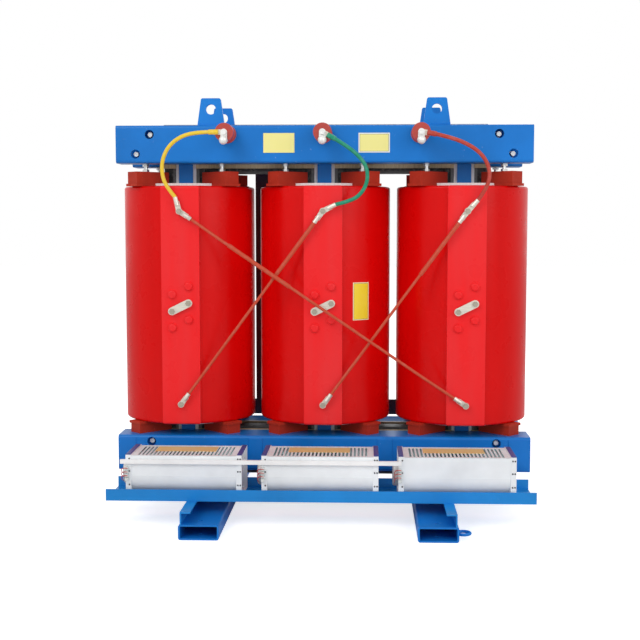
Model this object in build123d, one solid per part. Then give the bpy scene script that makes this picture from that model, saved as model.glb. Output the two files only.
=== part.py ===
from build123d import *
import math
import os

# Three-phase dry type transformer with cast resin coils, a stacked core held by box clamps,
# a skid base and three cross-flow cooling fans along its front.
# Frame: X along the row of coils, front towards -Y, +Z up, origin under the middle on the floor.
# All sizes are millimetres.

# Row of phases
phase_pitch = 440.0
phase_names = ("a", "b", "c")

# Skids
skid_spacing = 673.0
skid_length = 1176.0
skid_width = 115.0
skid_height = 44.0
skid_wall = 5.0
anchor_hole_radius = 7.0
anchor_inset = 47.0
tow_eye_radius = 19.0
tow_eye_bar = 4.5
tow_eye_inset = 40.0
tow_eye_drop = 4.0

# Core
core_radius = 82.0
core_step_widths = (156.0, 140.0, 116.0, 84.0)
lower_yoke_gap = 35.5
upper_yoke_gap = 43.5

# Coils
coil_seat = 37.0
coil_height = 740.0
lv_inner_radius = 95.0
lv_outer_radius = 146.0
hv_inner_radius = 165.0
hv_outer_radius = 209.0
hv_panel_width = 118.0
hv_panel_proud = 4.0
hv_rim_round = 7.0
barrier_radius = 158.0
barrier_wall = 3.0
barrier_overhang = 9.0

# Support blocks between coils and clamps
block_angle = 45.0
block_inner_radius = 100.0
block_length = 121.0
block_width = 50.0
block_foot = 8.0
block_foot_lip = 4.0
top_block_height = 45.0
jack_bolt_place = 170.0
jack_bolt_radius = 6.0
jack_bolt_entry = 30.0
jack_nut_thickness = 8.0
hex_share = 1.75
thread_clearance = 0.05

# Clamps
clamp_end_margin = 61.0
clamp_wall = 6.0
clamp_round = 9.0
upper_clamp_face = 177.0
upper_clamp_gap = 70.0
upper_clamp_height = 116.0
lower_clamp_face = 198.0
lower_clamp_bottom = 116.0
lower_clamp_height = 110.5
access_hole_radius = 14.0
rod_radius = 8.0
rod_nut_thickness = 13.0
rod_clearance = 0.5
rod_core_clearance = 12.0
rod_stagger = 44.0
rod_edge = 28.0

# Tie plates and boards between core and clamps
tie_plate_width = 44.0
tie_plate_thickness = 8.0
tie_plate_overlap = 90.0
strip_width = 64.0
strip_thickness = 3.0
board_overhang = 12.0
board_fit = 0.3

# Lifting lugs
lug_spacing = 696.0
lug_base_width = 84.0
lug_top_width = 60.0
lug_height = 83.0
lug_thickness = 14.0
lug_setback = 12.0
lug_hole_radius = 15.5
lug_hole_height = 49.0

# Core feet
foot_width = 100.0
foot_wall = 6.0

# High voltage terminals on the coils
top_terminal_drop = 78.5
bottom_terminal_rise = 64.5
terminal_boss_radius = 12.0
terminal_boss_height = 9.0
lug_tongue = 3.0
lug_tongue_width = 20.0
lug_barrel_radius = 7.0
lug_barrel_length = 26.0
lug_barrel_offset = 30.0
lug_reach = 44.0
terminal_bolt_head = 7.0
terminal_bolt_entry = 20.0
terminal_bolt_radius = 5.0

# Voltage taps on the coils
tap_middle_drop = 3.5
tap_column_offset = 25.5
tap_row_step = 51.5
tap_skew = 25.0
tap_cap_radius = 13.5
tap_cap_height = 10.0
tap_link_width = 24.0
tap_link_thickness = 4.0
tap_seat_height = 7.0

# Post insulators of the high voltage terminals
post_spacing = 296.0
post_drop = 28.5
post_radius = 28.0
post_waist_radius = 22.0
post_length = 86.0
ball_radius = 13.0
ball_drop = 25.0

# Delta links
link_radius = 4.5
sleeve_radius = 6.5
sleeve_share = 0.3
long_link_bow = 17.0
link_bend_radius = 120.0
link_ramp_length = 110.0
link_straight_length = 12.0

# Phase leads
lead_radius = 6.0
lead_radius_share = 0.45

# Fans
fan_pitch = 398.0
fan_body_length = 308.0
fan_front = 450.0
fan_depth = 160.0
fan_top = 212.0
fan_axis_height = 152.0
scroll_radius = 66.0
fan_sheet = 2.0
fan_lip = 12.0
scroll_end_angle = 50.0
inlet_height = 24.0
end_plate_flange = 16.0
end_plate_margin = 2.0
grille_slots = 25
grille_slot_width = 6.0
grille_border = 14.0
rotor_radius = 46.0
rotor_blades = 24
blade_depth = 11.0
blade_thickness = 1.2
blade_tilt = 30.0
rotor_disc = 2.0
rotor_gap = 8.0
shaft_radius = 4.0
shaft_clearance = 0.05
motor_radius = 36.0
motor_length = 30.0
motor_flange = 4.0

# Fan rails, arms and wiring duct
rail_length = 1252.0
rail_leg = 34.0
rail_wall = 4.0
front_rail_face = 460.0
rear_rail_face = 282.0
arm_height = 36.0
arm_width = 30.0
arm_wall = 4.0
duct_height = 12.0
duct_depth = 9.0
duct_left = 583.0
duct_right = 237.0
duct_top = 202.0

# Low voltage busbars at the rear
bar_thickness = 8.0
bar_width = 60.0
bar_reach = 240.0
bar_rise = 22.0
bar_overreach = 28.5
bar_bend = 8.0
bar_hole_radius = 6.5
bar_hole_step = 32.0
bar_hole_edge = 22.0
neutral_reach = 252.0
neutral_offset = 220.0
neutral_drop = 11.0
neutral_foot_drop = 4.0
neutral_bar_below = 30.0
neutral_bar_above = 22.0
lv_post_radius = 17.0
lv_shed_radius = 22.0

# Derived sizes
lower_clamp_top = lower_clamp_bottom + lower_clamp_height
coil_bottom = lower_clamp_top + coil_seat
coil_top = coil_bottom + coil_height
lower_yoke_height = coil_bottom - core_step_widths[0] / 2 - lower_yoke_gap
upper_yoke_height = coil_top + core_step_widths[0] / 2 + upper_yoke_gap
upper_clamp_bottom = coil_top + upper_clamp_gap
top_terminal_height = coil_top - top_terminal_drop
bottom_terminal_height = coil_bottom + bottom_terminal_rise
tap_middle_height = coil_bottom + coil_height / 2 - tap_middle_drop
upper_clamp_top = upper_clamp_bottom + upper_clamp_height
bar_top = upper_clamp_top + bar_overreach
core_half_depth = math.sqrt(core_radius**2 - (core_step_widths[-1] / 2) ** 2)
strip_face = core_half_depth + strip_thickness
tie_plate_face = strip_face + tie_plate_thickness
panel_face = hv_outer_radius + hv_panel_proud
terminal_seat = panel_face + terminal_boss_height
link_axis = terminal_seat + lug_barrel_radius
lead_lug_seat = terminal_seat + lug_tongue
post_height = upper_clamp_top - post_drop
post_face = upper_clamp_face + post_length
rail_seat = skid_height + arm_height
fan_axis_y = -fan_front + scroll_radius
yoke_reach = phase_pitch + core_step_widths[0] / 2
inner_rod_reach = yoke_reach + rod_core_clearance + rod_radius
outer_rod_reach = inner_rod_reach + rod_stagger
clamp_length = 2 * (outer_rod_reach + clamp_end_margin)
rod_heights = (
    (inner_rod_reach, upper_clamp_top - rod_edge),
    (outer_rod_reach, upper_clamp_bottom + rod_edge),
    (inner_rod_reach, lower_clamp_top - rod_edge + rod_radius),
    (outer_rod_reach, lower_clamp_bottom + rod_edge),
)


def span_box(x, y, z):
    """Box between pairs of X, Y and Z limits."""
    middle = [(low + high) / 2 for low, high in (x, y, z)]
    size = [abs(high - low) for low, high in (x, y, z)]
    return Pos(*middle) * Box(*size)


def rod_along_y(x, z, radius, start, end):
    return Pos(x, (start + end) / 2, z) * Rot(90, 0, 0) * Cylinder(radius, abs(end - start))


def rod_along_x(y, z, radius, start, end):
    return Pos((start + end) / 2, y, z) * Rot(0, 90, 0) * Cylinder(radius, abs(end - start))


def rod_along_z(x, y, radius, start, end):
    return Pos(x, y, (start + end) / 2) * Cylinder(radius, abs(end - start))


def hex_along_y(x, z, radius, start, end):
    nut = extrude(RegularPolygon(radius, 6), abs(end - start) / 2, both=True)
    return Pos(x, (start + end) / 2, z) * Rot(90, 0, 0) * nut


def hex_along_z(x, y, radius, start, end):
    nut = extrude(RegularPolygon(radius, 6), abs(end - start) / 2, both=True)
    return Pos(x, y, (start + end) / 2) * nut


def phase_x(index):
    return (index - 1) * phase_pitch


def coil_corners():
    """Angles of the four support blocks around a coil."""
    return [block_angle + 90 * quarter for quarter in range(4)]


def step_depth(width):
    return math.sqrt(core_radius**2 - (width / 2) ** 2)


def core_layers():
    """Width and depth limits of each packet of the stacked core, on both sides of its middle."""
    layers = [(core_step_widths[0], -step_depth(core_step_widths[0]), step_depth(core_step_widths[0]))]
    for wide, narrow in zip(core_step_widths, core_step_widths[1:]):
        layers.append((narrow, step_depth(wide), step_depth(narrow)))
        layers.append((narrow, -step_depth(narrow), -step_depth(wide)))
    return layers


def core_limb(x):
    packets = []
    for width, near, far in core_layers():
        bottom = lower_yoke_height + width / 2
        top = upper_yoke_height - width / 2
        packets.append(span_box((x - width / 2, x + width / 2), (near, far), (bottom, top)))
    return packets[0].fuse(*packets[1:])


def yoke(height):
    packets = []
    for width, near, far in core_layers():
        reach = phase_pitch + width / 2
        levels = (height - width / 2, height + width / 2)
        packets.append(span_box((-reach, reach), (near, far), levels))
    return packets[0].fuse(*packets[1:])


def lv_coil(x):
    middle = coil_bottom + coil_height / 2
    coil = Cylinder(lv_outer_radius, coil_height) - Cylinder(lv_inner_radius, coil_height + 1)
    return Pos(x, 0, middle) * coil


def tap_places():
    """Offsets of the six taps from the coil's centre line and their heights."""
    places = []
    for row in (-1, 0, 1):
        level = tap_middle_height + row * tap_row_step
        places.append((-tap_column_offset, level - tap_skew / 2, row))
        places.append((tap_column_offset, level + tap_skew / 2, row))
    return places


def tap_stud(x, z, linked):
    """A linked tap is a flat seat, and a free one is a domed cap."""
    if linked:
        return rod_along_y(x, z, tap_cap_radius - 3, -panel_face + 2, -panel_face - tap_seat_height)
    cap = rod_along_y(x, z, tap_cap_radius, -panel_face + 2, -panel_face - tap_cap_height)
    rim = cap.faces().sort_by(Axis.Y)[0].edges()
    return fillet(rim, tap_cap_height * 0.6)


def hv_coil(x):
    middle = coil_bottom + coil_height / 2
    body = Cylinder(hv_outer_radius, coil_height)
    panel = Pos(0, -panel_face / 2, 0) * Box(hv_panel_width, panel_face, coil_height)
    body = body + panel
    rims = body.faces().sort_by(Axis.Z)
    body = fillet(rims[0].edges() + rims[-1].edges(), hv_rim_round)
    body = Pos(x, 0, middle) * (body - Cylinder(hv_inner_radius, coil_height + 1))
    for height in (top_terminal_height, bottom_terminal_height):
        body += rod_along_y(x, height, terminal_boss_radius, -panel_face + 2, -terminal_seat)
        body -= rod_along_y(
            x, height, terminal_bolt_radius + thread_clearance, -terminal_seat + 24, -terminal_seat - 1
        )
    for offset, height, row in tap_places():
        body += tap_stud(x + offset, height, row == 0)
    return body


def block_at(x, angle, grow=0.0):
    """Radial support block in plan, as a sketch turned about the coil's axis."""
    plan = Pos(block_inner_radius + block_length / 2, 0) * Rectangle(
        block_length + 2 * grow, block_width + 2 * grow
    )
    return Pos(x, 0, 0) * Rot(0, 0, angle) * plan


def support_block(x, angle, bottom, top, foot_at_bottom):
    """Block with a slightly wider foot that bears on the coil."""
    body = Pos(0, 0, bottom) * extrude(block_at(x, angle), top - bottom)
    foot_plan = block_at(x, angle, 0) + block_at(x, angle, block_foot_lip)
    foot_level = bottom if foot_at_bottom else top - block_foot
    body += Pos(0, 0, foot_level) * extrude(foot_plan, block_foot)
    return body


def support_blocks(upper):
    blocks = []
    for index in range(3):
        for angle in coil_corners():
            if upper:
                levels = (coil_top, coil_top + top_block_height)
            else:
                levels = (lower_clamp_top, coil_bottom)
            blocks.append(support_block(phase_x(index), angle, *levels, upper))
    return blocks


def barrier(x):
    """Insulating cylinder in the duct between the coils, notched where the blocks cross it."""
    bottom = coil_bottom - barrier_overhang
    height = coil_height + 2 * barrier_overhang
    tube = Cylinder(barrier_radius, height) - Cylinder(barrier_radius - barrier_wall, height + 1)
    tube = Pos(x, 0, bottom + height / 2) * tube
    for angle in coil_corners():
        notch = block_at(x, angle, block_foot_lip + 1)
        for level in (bottom - 1, coil_top - 0.5):
            tube -= Pos(0, 0, level) * extrude(notch, barrier_overhang + 1.5)
    return tube


def jack_places():
    """Plan positions of the jack bolts, one on each upper block."""
    places = []
    for index in range(3):
        for angle in coil_corners():
            turn = math.radians(angle)
            places.append(
                (phase_x(index) + jack_bolt_place * math.cos(turn), jack_bolt_place * math.sin(turn))
            )
    return places


def jack_bolt(x, y):
    """Bolt with its head on a block, its locking nut under the clamp and its shank in the clamp."""
    block_top = coil_top + top_block_height
    bolt = rod_along_z(x, y, jack_bolt_radius, block_top, upper_clamp_bottom + jack_bolt_entry)
    across = jack_bolt_radius * hex_share
    bolt += hex_along_z(x, y, across, block_top, block_top + jack_nut_thickness)
    bolt += hex_along_z(x, y, across, upper_clamp_bottom - jack_nut_thickness, upper_clamp_bottom)
    return bolt


def clamp_tube(side, face, bottom, height):
    """Square cornered box beam between the outer face and the tie plates."""
    inner_face = tie_plate_face
    depth = face - inner_face
    outline = RectangleRounded(depth, height, clamp_round)
    bore = RectangleRounded(depth - 2 * clamp_wall, height - 2 * clamp_wall, clamp_round - clamp_wall)
    beam = extrude(Plane.YZ * (outline - bore), clamp_length / 2, both=True)
    return Pos(0, side * (face + inner_face) / 2, bottom + height / 2) * beam


def drill_for_rods(beam, side, face, bottom, height):
    for reach, level in rod_heights:
        if bottom < level < bottom + height:
            for end in (-1, 1):
                x = end * reach
                beam -= rod_along_y(
                    x, level, access_hole_radius, side * (face + 1), side * (face - clamp_wall - 1)
                )
                beam -= rod_along_y(
                    x, level, rod_radius + rod_clearance,
                    side * (tie_plate_face - 1), side * (tie_plate_face + clamp_wall + 1),
                )
    return beam


def upper_clamp(side):
    beam = clamp_tube(side, upper_clamp_face, upper_clamp_bottom, upper_clamp_height)
    beam = drill_for_rods(beam, side, upper_clamp_face, upper_clamp_bottom, upper_clamp_height)
    for x, y in jack_places():
        if y * side > 0:
            hole = rod_along_z(
                x, y, jack_bolt_radius + thread_clearance,
                upper_clamp_bottom - 1, upper_clamp_bottom + clamp_wall + 1,
            )
            beam -= hole
    return beam


def lower_clamp(side):
    beam = clamp_tube(side, lower_clamp_face, lower_clamp_bottom, lower_clamp_height)
    return drill_for_rods(beam, side, lower_clamp_face, lower_clamp_bottom, lower_clamp_height)


def tie_rods():
    """Long studs that pull front and rear clamps together beyond the ends of the core."""
    rods = []
    nut_seat = tie_plate_face + clamp_wall
    rod_end = nut_seat + rod_nut_thickness + 6
    for reach, level in rod_heights:
        for end in (-1, 1):
            x = end * reach
            rod = rod_along_y(x, level, rod_radius, -rod_end, rod_end)
            for side in (-1, 1):
                nut = hex_along_y(
                    x, level, rod_radius * hex_share * 0.85, side * nut_seat, side * (nut_seat + rod_nut_thickness)
                )
                rod += nut
            rods.append(rod)
    return rods


def tie_plates():
    """Flat plates along the limbs that join lower and upper clamps."""
    plates = []
    bottom = lower_clamp_top - tie_plate_overlap
    top = upper_clamp_bottom + tie_plate_overlap
    for index in range(3):
        x = phase_x(index)
        for side in (-1, 1):
            plates.append(
                span_box(
                    (x - tie_plate_width / 2, x + tie_plate_width / 2),
                    (side * strip_face, side * tie_plate_face), (bottom, top),
                )
            )
    return plates


def tie_plate_strips():
    """Pale insulating strips between the tie plates and the core."""
    strips = []
    bottom = lower_clamp_top - tie_plate_overlap
    top = upper_clamp_bottom + tie_plate_overlap
    for index in range(3):
        x = phase_x(index)
        for side in (-1, 1):
            strips.append(
                span_box(
                    (x - strip_width / 2, x + strip_width / 2),
                    (side * core_half_depth, side * strip_face), (bottom, top),
                )
            )
    return strips


def yoke_board(side, bottom, top, notch_up):
    """Pressboard between a yoke and a clamp, with slots for the strips and tie plates."""
    board = span_box((-yoke_reach, yoke_reach), (side * core_half_depth, side * tie_plate_face), (bottom, top))
    slot_half = strip_width / 2 + board_fit
    for index in range(3):
        x = phase_x(index)
        if notch_up:
            levels = (bottom - 1, upper_clamp_bottom + tie_plate_overlap + board_fit)
        else:
            levels = (lower_clamp_top - tie_plate_overlap - board_fit, top + 1)
        faces = (side * (core_half_depth - 1), side * (tie_plate_face + 1))
        board -= span_box((x - slot_half, x + slot_half), faces, levels)
    return board


def yoke_boards():
    boards = []
    for side in (-1, 1):
        boards.append(yoke_board(side, upper_clamp_bottom - board_overhang, upper_clamp_top - 4, True))
        boards.append(yoke_board(side, lower_clamp_bottom + 4, lower_clamp_top, False))
    return boards


def lifting_lug(x, side):
    outline = Polyline(
        (-lug_base_width / 2, 0),
        (lug_base_width / 2, 0),
        (lug_top_width / 2, lug_height),
        (-lug_top_width / 2, lug_height),
        close=True,
    )
    plate = make_face(outline) - Pos(0, lug_hole_height) * Circle(lug_hole_radius)
    plate = extrude(Plane.XZ * plate, lug_thickness / 2, both=True)
    top_corners = plate.edges().filter_by(Axis.Y).sort_by(Axis.Z)[-2:]
    plate = fillet(top_corners, 6)
    middle = side * (upper_clamp_face - lug_setback - lug_thickness / 2)
    return Pos(x, middle, upper_clamp_top) * plate


def lifting_lugs():
    return [lifting_lug(end * lug_spacing / 2, side) for end in (-1, 1) for side in (-1, 1)]


def skid(end):
    """Rectangular tube with anchor holes. The right one has a tow eye on its outer side."""
    outline = RectangleRounded(skid_width, skid_height, skid_wall * 1.4)
    bore = RectangleRounded(skid_width - 2 * skid_wall, skid_height - 2 * skid_wall, skid_wall * 0.6)
    x = end * skid_spacing / 2
    tube = Pos(x, 0, skid_height / 2) * extrude(Plane.XZ * (outline - bore), skid_length / 2, both=True)
    for side in (-1, 1):
        y = side * (skid_length / 2 - anchor_inset)
        tube -= rod_along_z(x, y, anchor_hole_radius, -1, skid_height + 1)
    if end > 0:
        ring = Torus(tow_eye_radius, tow_eye_bar)
        edge = x + skid_width / 2
        ring = Pos(edge + tow_eye_radius * 0.75, -skid_length / 2 + tow_eye_inset, skid_height / 2 - tow_eye_drop) * ring
        keep_out = span_box((edge - 3 * tow_eye_radius, edge), (-skid_length / 2, 0), (-1, skid_height + 1))
        tube += ring - keep_out
    return tube


def core_foot(x, side):
    """Short box section that carries a lower clamp on a skid."""
    depth = lower_clamp_face - tie_plate_face
    height = lower_clamp_bottom - skid_height
    outline = RectangleRounded(foot_width, height, foot_wall)
    bore = Rectangle(foot_width - 2 * foot_wall, height - 2 * foot_wall)
    foot = extrude(Plane.XZ * (outline - bore), depth / 2, both=True)
    return Pos(x, side * (lower_clamp_face + tie_plate_face) / 2, skid_height + height / 2) * foot


def core_feet():
    return [core_foot(end * skid_spacing / 2, side) for end in (-1, 1) for side in (-1, 1)]


def post_insulator(x):
    """Cast post with two sheds, standing out of the upper clamp towards the front."""
    shed = post_length / 4
    waist = post_waist_radius
    profile = Polyline(
        (0, 0), (post_radius, 0), (post_radius, shed * 0.7), (waist, shed), (waist, shed * 1.4),
        (post_radius - 2, shed * 1.8), (post_radius - 2, shed * 2.2), (waist, shed * 2.6),
        (waist, shed * 3), (post_radius, shed * 3.4), (post_radius, post_length), (0, post_length),
        close=True,
    )
    post = revolve(make_face(Plane.XZ * profile), Axis.Z)
    return Pos(x, -upper_clamp_face, post_height) * Rot(90, 0, 0) * post


def cable_lug(x, z, seat, angle):
    """Cable lug on a stud: a flat tongue with a hole, and a barrel that points along the angle."""
    length = lug_barrel_offset
    plan = Circle(lug_tongue_width / 2) + Pos(length / 2, 0) * Rectangle(length, lug_tongue_width * 0.8)
    plan -= Circle(terminal_bolt_radius + rod_clearance)
    tongue = extrude(plan, lug_tongue)
    middle = lug_reach - lug_barrel_length / 2
    barrel = Pos(middle, 0, lug_barrel_radius) * Rot(0, 90, 0) * Cylinder(lug_barrel_radius, lug_barrel_length)
    return Pos(x, -seat, z) * Rot(90, 0, 0) * Rot(0, 0, angle) * (tongue + barrel)


def link_ends(index):
    """Each delta link runs from the top terminal of one phase to the bottom terminal of the one before."""
    return phase_x(index), phase_x((index + 2) % 3)


def link_path(start_x, end_x, bow):
    """Runs from lug to lug. A bowed link stands further out over its middle."""
    start = Vector(start_x, -link_axis, top_terminal_height)
    end = Vector(end_x, -link_axis, bottom_terminal_height)
    way = (end - start).normalized()
    first = start + way * lug_reach
    last = end - way * lug_reach
    if bow == 0:
        return [first, last]
    out = Vector(0, -bow, 0)
    ramp = way * link_ramp_length
    straight = way * link_straight_length
    return [first, first + straight, first + ramp + out, last - ramp + out, last - straight, last]


def tube_along(points, radius, bend_radii):
    """Round bar along straight runs joined by tangent arcs."""
    if len(points) == 2:
        path = Line(points[0], points[1])
    else:
        path = FilletPolyline(*points, radius=bend_radii)
    start = points[0]
    across = Plane(origin=start, z_dir=points[1] - points[0])
    return sweep(across * Circle(radius), path=path)


def delta_link(index):
    start_x, end_x = link_ends(index)
    bow = long_link_bow if abs(end_x - start_x) > phase_pitch * 1.5 else 0
    points = link_path(start_x, end_x, bow)
    bar = tube_along(points, link_radius, [link_bend_radius] * (len(points) - 2))
    if bow:
        straight_from, straight_to = points[2], points[3]
        sleeve_from = straight_from + (straight_to - straight_from).normalized() * 30
    else:
        straight_from, straight_to = points
        sleeve_from = straight_from
    sleeve_to = sleeve_from + (straight_to - straight_from) * sleeve_share
    bar += tube_along([sleeve_from, sleeve_to], sleeve_radius, [])
    angle = math.degrees(math.atan2(bottom_terminal_height - top_terminal_height, end_x - start_x))
    bar += cable_lug(start_x, top_terminal_height, terminal_seat, angle)
    bar += cable_lug(end_x, bottom_terminal_height, terminal_seat, angle + 180)
    return bar


# Routes of the phase leads. Each leaves its post's lug at the first angle and reaches its coil's
# lug at the second. The points between are chosen by hand.
lead_routes = {
    "a": (180, 104, [
        (-384, -268, 1160), (-428, -264, 1148), (-463, -259, 1122), (-484, -254, 1084),
        (-488, -249, 1041), (-477, -242, 1001),
    ]),
    "b": (-29, 27, [
        (76, -267, 1117), (110, -262, 1089), (133, -257, 1058), (137, -251, 1019),
        (122, -245, 983), (90, -239, 956),
    ]),
    "c": (-10, 48, [
        (384, -267, 1143), (428, -262, 1127), (467, -258, 1104), (494, -254, 1071),
        (504, -250, 1031), (493, -243, 992),
    ]),
}


def lug_exit(x, z, seat, angle):
    """Where a cable meets the barrel of its lug."""
    turn = math.radians(angle)
    return Vector(x + lug_reach * math.cos(turn), -seat - lug_barrel_radius, z + lug_reach * math.sin(turn))


def lead_points(index):
    post_angle, coil_angle, middle = lead_routes[phase_names[index]]
    first = lug_exit((index - 1) * post_spacing, post_height, post_face, post_angle)
    last = lug_exit(phase_x(index), top_terminal_height, lead_lug_seat, coil_angle)
    return [first] + [Vector(*place) for place in middle] + [last]


def arc_radii(points):
    """As large an arc at each point as the two runs that meet there allow."""
    radii = []
    for before, here, after in zip(points, points[1:], points[2:]):
        turn = math.radians((here - before).get_angle(after - here))
        shorter = min((here - before).length, (after - here).length)
        radii.append(lead_radius_share * shorter / math.tan(turn / 2))
    return radii


def phase_lead(index):
    points = lead_points(index)
    radii = arc_radii(points)
    path = FilletPolyline(*points, radius=radii)
    across = Plane(origin=points[0], z_dir=points[1] - points[0])
    lead = sweep(across * Circle(lead_radius), path=path)
    expected = math.pi * lead_radius**2 * path.length
    print("lead", phase_names[index], "length", round(path.length), "radii", [round(r) for r in radii],
          "volume share", round(lead.volume / expected, 4))
    return lead


def lead_lugs():
    lugs = []
    for index in range(3):
        post_angle, coil_angle, middle = lead_routes[phase_names[index]]
        lugs.append(cable_lug((index - 1) * post_spacing, post_height, post_face, post_angle))
        lugs.append(cable_lug(phase_x(index), top_terminal_height, lead_lug_seat, coil_angle))
    return lugs


def tap_link(x):
    """Flat copper link across the two middle taps."""
    length = math.hypot(2 * tap_column_offset, tap_skew)
    turn = math.degrees(math.atan2(tap_skew, 2 * tap_column_offset))
    plan = SlotCenterToCenter(length, tap_link_width)
    for end in (-1, 1):
        plan -= Pos(end * length / 2, 0) * Circle(terminal_bolt_radius + rod_clearance)
    link = extrude(plan, tap_link_thickness)
    return Pos(x, -panel_face - tap_seat_height, tap_middle_height) * Rot(90, 0, 0) * Rot(0, 0, turn) * link


def terminal_bolts():
    """Bolts on the coil terminals, the posts and the tap links."""
    bolts = []
    for index in range(3):
        x = phase_x(index)
        for height, seat in (
            (top_terminal_height, lead_lug_seat + lug_tongue), (bottom_terminal_height, terminal_seat + lug_tongue)
        ):
            bolt = rod_along_y(x, height, terminal_bolt_radius, -terminal_seat + terminal_bolt_entry, -seat - 1)
            bolt += hex_along_y(x, height, terminal_bolt_radius * hex_share, -seat, -seat - terminal_bolt_head)
            bolts.append(bolt)
        for offset, height, row in tap_places():
            if row == 0:
                seat = panel_face + tap_seat_height
                face = seat + tap_link_thickness
                bolt = rod_along_y(x + offset, height, terminal_bolt_radius, -seat, -face - 1)
                bolt += hex_along_y(
                    x + offset, height, terminal_bolt_radius * hex_share, -face, -face - terminal_bolt_head
                )
                bolts.append(bolt)
    return bolts


def earthing_ball(index):
    """Terminal plate with its bolt and a ball for an earthing clamp below it."""
    x = (index - 1) * post_spacing
    seat = post_face + lug_tongue
    face = seat + lug_tongue
    plate = SlotCenterToCenter(ball_drop, lug_tongue_width)
    plate = Pos(x, -seat, post_height - ball_drop / 2) * Rot(90, 0, 0) * Rot(0, 0, 90) * extrude(plate, lug_tongue)
    plate += rod_along_y(x, post_height, terminal_bolt_radius, -post_face, -face - 1)
    plate += hex_along_y(x, post_height, terminal_bolt_radius * hex_share, -face, -face - terminal_bolt_head)
    plate += Pos(x, -face - ball_radius * 0.9, post_height - ball_drop) * Sphere(ball_radius)
    return plate


def fan_x(index):
    return (index - 1) * fan_pitch


def scroll_outline(inset):
    """Side view of the fan casing, open at the top, inset by a wall thickness."""
    radius = scroll_radius - inset
    axis = (fan_axis_y, fan_axis_height)
    end = math.radians(270 + scroll_end_angle)
    top_front = (fan_axis_y - radius, fan_top - fan_sheet)
    side = (fan_axis_y - radius, fan_axis_height)
    scroll_end = (axis[0] + radius * math.cos(end), axis[1] + radius * math.sin(end))
    return top_front, side, scroll_end


def fan_casing(index):
    """Folded sheet that wraps the rotor from the outlet round to the inlet."""
    outer_top, outer_side, outer_end = scroll_outline(0)
    inner_top, inner_side, inner_end = scroll_outline(fan_sheet)
    centre = (fan_axis_y, fan_axis_height)
    middle_angle = math.radians(225 + scroll_end_angle / 2)
    outer_mid = (
        centre[0] + scroll_radius * math.cos(middle_angle), centre[1] + scroll_radius * math.sin(middle_angle)
    )
    inner = scroll_radius - fan_sheet
    inner_mid = (centre[0] + inner * math.cos(middle_angle), centre[1] + inner * math.sin(middle_angle))
    edges = [
        Line(outer_top, outer_side), ThreePointArc(outer_side, outer_mid, outer_end), Line(outer_end, inner_end),
        ThreePointArc(inner_end, inner_mid, inner_side), Line(inner_side, inner_top), Line(inner_top, outer_top),
    ]
    scroll = extrude(Plane.YZ * make_face(edges), fan_body_length / 2, both=True)
    return Pos(fan_x(index), 0, 0) * scroll


def fan_rear_wall():
    """Rear wall with a shelf over the inlet and the lip that parts inflow from outflow."""
    rear = -fan_front + fan_depth
    wall_bottom = fan_axis_height + inlet_height
    half = fan_body_length / 2
    wall = span_box((-half, half), (rear - fan_sheet, rear), (wall_bottom, fan_top))
    shelf_front = fan_axis_y + rotor_radius + rotor_gap
    shelf = span_box((-half, half), (shelf_front, rear), (wall_bottom, wall_bottom + fan_sheet))
    lip = span_box(
        (-half, half), (shelf_front, shelf_front + fan_sheet), (wall_bottom, wall_bottom + fan_lip)
    )
    return wall + shelf + lip


def fan_grille(index):
    """Slotted outlet plate, folded down at the rear into the wall over the inlet."""
    half = fan_body_length / 2
    plate = span_box((-half, half), (-fan_front, -fan_front + fan_depth), (fan_top - fan_sheet, fan_top))
    pitch = (fan_body_length - 2 * grille_border) / grille_slots
    middle = -fan_front + fan_depth / 2
    slot_reach = fan_depth / 2 - grille_border
    for number in range(grille_slots):
        x = (number - (grille_slots - 1) / 2) * pitch
        plate -= span_box(
            (x - grille_slot_width / 2, x + grille_slot_width / 2),
            (middle - slot_reach, middle + slot_reach), (fan_top - fan_sheet - 1, fan_top + 1),
        )
    return Pos(fan_x(index), 0, 0) * (plate + fan_rear_wall())


def fan_end_plate(index, side):
    """Bearing plate with its edges folded outwards."""
    inner = fan_body_length / 2
    outer = inner + fan_sheet
    edge = inner + end_plate_flange
    rear = -fan_front + fan_depth
    y = (-fan_front - end_plate_margin, rear + end_plate_margin)
    z = (rail_seat + rail_wall, fan_top + end_plate_margin)
    plate = span_box((side * inner, side * edge), y, z)
    hollow = span_box(
        (side * outer, side * (edge + 1)), (y[0] + fan_sheet, y[1] - fan_sheet),
        (z[0] + fan_sheet, z[1] - fan_sheet),
    )
    plate -= hollow
    plate -= rod_along_x(
        fan_axis_y, fan_axis_height, shaft_radius + shaft_clearance, side * (inner - 1), side * (outer + 1)
    )
    return Pos(fan_x(index), 0, 0) * plate


def fan_rotor(index):
    """Cross-flow rotor: a drum of curved slats between discs on one shaft."""
    half = fan_body_length / 2 - rotor_gap
    shaft_left = -fan_body_length / 2 - fan_sheet - motor_flange - 14
    shaft_right = fan_body_length / 2 + fan_sheet + 6
    rotor = rod_along_x(0, 0, shaft_radius, shaft_left, shaft_right)
    for place in (-half + rotor_disc / 2, 0, half - rotor_disc / 2):
        rotor += rod_along_x(0, 0, rotor_radius, place - rotor_disc / 2, place + rotor_disc / 2)
    blade_place = rotor_radius - blade_depth / 2 - 1
    blade = Pos(0, blade_place, 0) * Rot(blade_tilt, 0, 0) * Box(2 * half, blade_depth, blade_thickness)
    blades = [Rot(360 / rotor_blades * number, 0, 0) * blade for number in range(rotor_blades)]
    rotor = rotor.fuse(*blades)
    return Pos(fan_x(index), fan_axis_y, fan_axis_height) * rotor


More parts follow.
